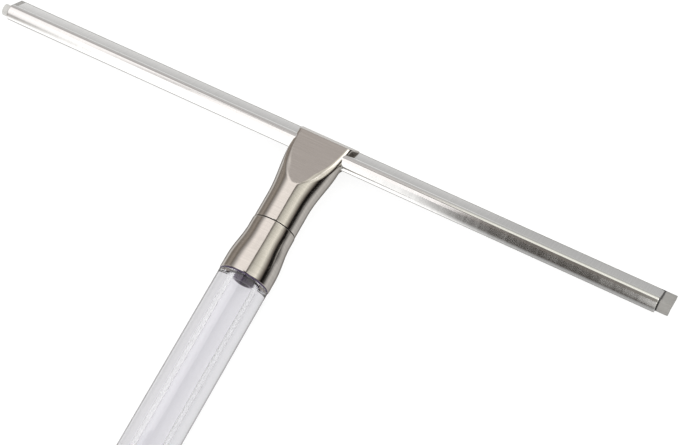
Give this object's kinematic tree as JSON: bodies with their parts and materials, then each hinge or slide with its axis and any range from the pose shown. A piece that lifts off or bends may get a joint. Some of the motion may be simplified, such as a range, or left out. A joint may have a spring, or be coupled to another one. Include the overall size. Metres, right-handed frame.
{
  "type": "window cleaning squeegee",
  "caption": "Hand squeegee with a folded metal channel, a sliding rubber blade, a brushed metal head and a clear handle that unscrews.",
  "frame": {"origin": "middle of the bounding box on the surface that the squeegee lies on, with its faceted front up", "axes": "+X along the blade to the user's right, +Y along the handle's axis from the handle to the head, +Z out of the faceted front"},
  "size_m": [0.3134, 0.253, 0.0225],
  "materials": {
    "brushed_nickel": "brushed satin nickel",
    "channel_steel": "bright steel brushed across its length",
    "blade_rubber": "smooth translucent grey rubber",
    "clear_acrylic": "polished clear acrylic",
    "gasket_plastic": "soft clear lilac plastic",
    "insert_metal": "turned dark nickel",
    "plated_steel": "zinc plated thread",
    "dark_steel": "blackened steel",
    "washer_plastic": "black nylon",
    "brass": "machined brass"
  },
  "bodies": {
    "head": {"neck": "brushed_nickel", "clamp_shoe": "brass", "set_screws": "dark_steel", "channel": "channel_steel", "neck_stud": "plated_steel"},
    "blade": {"rubber_blade": "blade_rubber"},
    "washer": {"seam_washer": "washer_plastic"},
    "handle": {"ferrule": "brushed_nickel", "rim_gasket": "gasket_plastic", "handle_rod": "clear_acrylic", "upper_insert": "insert_metal", "lower_insert": "insert_metal", "cap_gasket": "gasket_plastic", "cap_stud": "plated_steel", "end_cap": "brushed_nickel"}
  },
  "joints": [
    {"name": "rubber_slide", "type": "slide", "parent": "head", "child": "blade", "axis": [1, 0, 0], "range_m": [-0.3, 0.3]},
    {"name": "thread_travel", "type": "slide", "parent": "head", "child": "washer", "axis": [0, -1, 0], "range_m": [0, 0.01]},
    {"name": "handle_unscrew", "type": "hinge", "parent": "washer", "child": "handle", "pos_m": [-0.00125, 0, 0.01125], "axis": [0, -1, 0], "range_deg": [0, 3600]}
  ],
  "couplings": [
    {"joint": "thread_travel", "follows": "handle_unscrew", "m_per_rad": 0.00015915}
  ]
}
